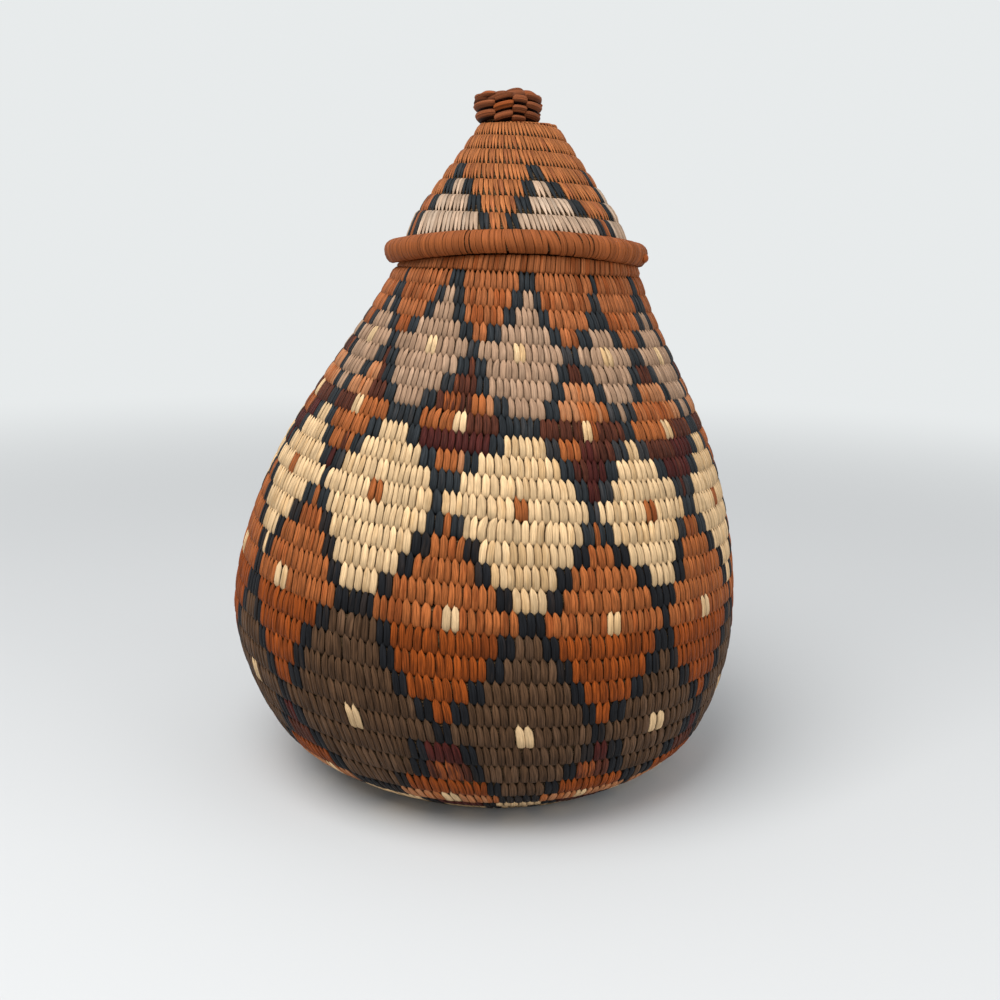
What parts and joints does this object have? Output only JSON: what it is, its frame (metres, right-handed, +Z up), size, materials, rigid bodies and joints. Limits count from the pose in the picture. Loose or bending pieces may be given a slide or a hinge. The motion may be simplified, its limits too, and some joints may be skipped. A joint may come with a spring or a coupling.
{
  "type": "lidded coiled basket",
  "caption": "Pear-shaped coiled grass basket with a flat base, a narrow neck and a conical lift-off lid that carries a small plaited knob.",
  "frame": {"origin": "on the surface the basket stands on, under the middle of its belly", "axes": "+Z up out of the neck, -Y is the front of the picture, +X to its right"},
  "size_m": [0.263, 0.263, 0.343],
  "materials": {
    "rust_palm": "dyed palm strip, dull sheen",
    "dark_rust_palm": "dyed palm strip, dull sheen",
    "cream_palm": "undyed palm strip, dull sheen",
    "taupe_palm": "dyed palm strip, dull sheen",
    "grey_brown_palm": "dyed palm strip, dull sheen",
    "black_palm": "dyed palm strip, dull sheen",
    "maroon_palm": "dyed palm strip, dull sheen",
    "orange_palm": "dyed palm strip, dull sheen",
    "straw_coil": "dry grass coil sewn with palm strip"
  },
  "bodies": {
    "pot": {"base_coil": "straw_coil", "lower_wall_coil": "grey_brown_palm", "belly_wall_coil": "cream_palm", "shoulder_coil": "taupe_palm", "neck_coil": "rust_palm"},
    "lid": {"lid_rim_coil": "dark_rust_palm", "lid_cone_coil": "rust_palm", "lid_collar_coil": "straw_coil", "knob_core": "straw_coil", "knob_weave": "dark_rust_palm", "knob_border": "dark_rust_palm"}
  },
  "joints": [
    {"name": "lid_lift", "type": "slide", "parent": "pot", "child": "lid", "axis": [0, 0, 1], "range_m": [0, 0.06]}
  ]
}
